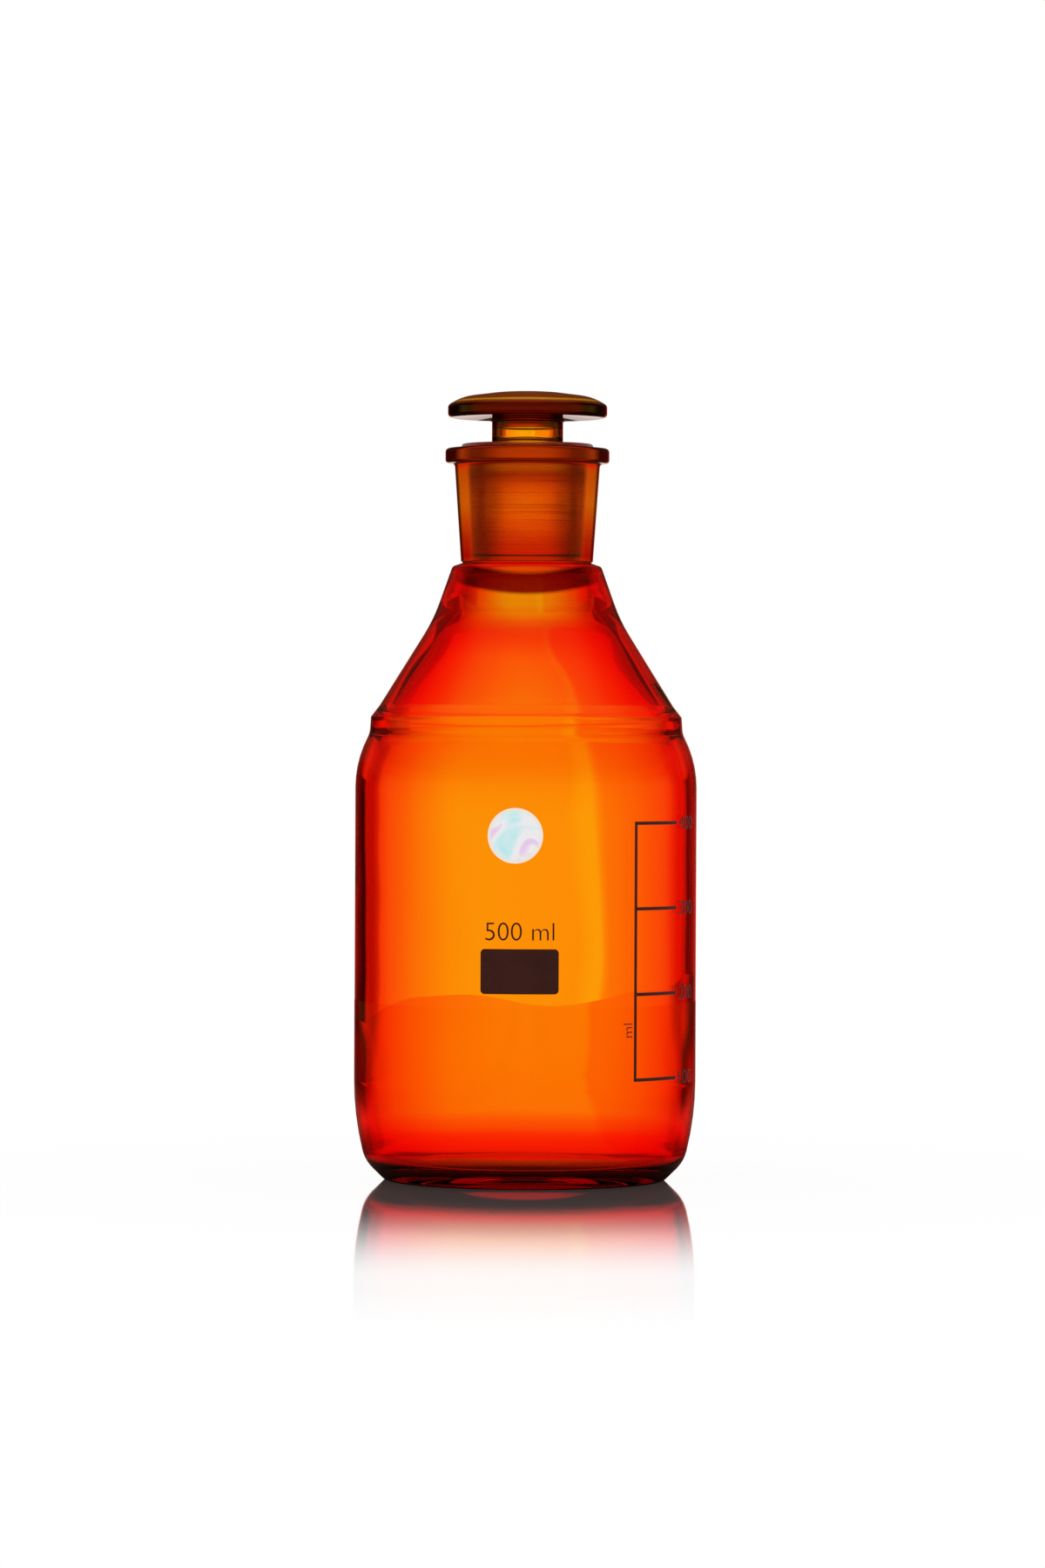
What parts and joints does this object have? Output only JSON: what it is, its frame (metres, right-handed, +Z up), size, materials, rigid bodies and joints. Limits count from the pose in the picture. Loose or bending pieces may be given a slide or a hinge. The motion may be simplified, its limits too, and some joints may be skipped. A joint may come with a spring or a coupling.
{
  "type": "reagent bottle",
  "caption": "Round narrow-mouth bottle of amber glass with a conical shoulder, a ground conical socket in its flanged neck and a hollow lift-out stopper with a flat domed head.",
  "frame": {"origin": "centre of the foot ring, on the surface that the bottle stands on", "axes": "+Z up along the bottle's axis, -Y towards the printed front, +X to the right of someone who faces that front"},
  "size_m": [0.084, 0.0842, 0.1937],
  "materials": {
    "amber_glass": "clear amber glass, smooth, with a finely ground socket",
    "stopper_glass": "clear amber glass, smooth, with a finely ground plug",
    "label_foil": "silvery foil with a faint play of colours",
    "brown_enamel": "dark brown fired enamel, slightly rough"
  },
  "bodies": {
    "bottle": {"bottle": "amber_glass", "round_label": "label_foil", "writing_patch": "brown_enamel", "graduation_scale": "brown_enamel"},
    "stopper": {"stopper": "stopper_glass"}
  },
  "joints": [
    {"name": "stopper_lift", "type": "slide", "parent": "bottle", "child": "stopper", "axis": [0, 0, 1], "range_m": [0, 0.075]}
  ]
}
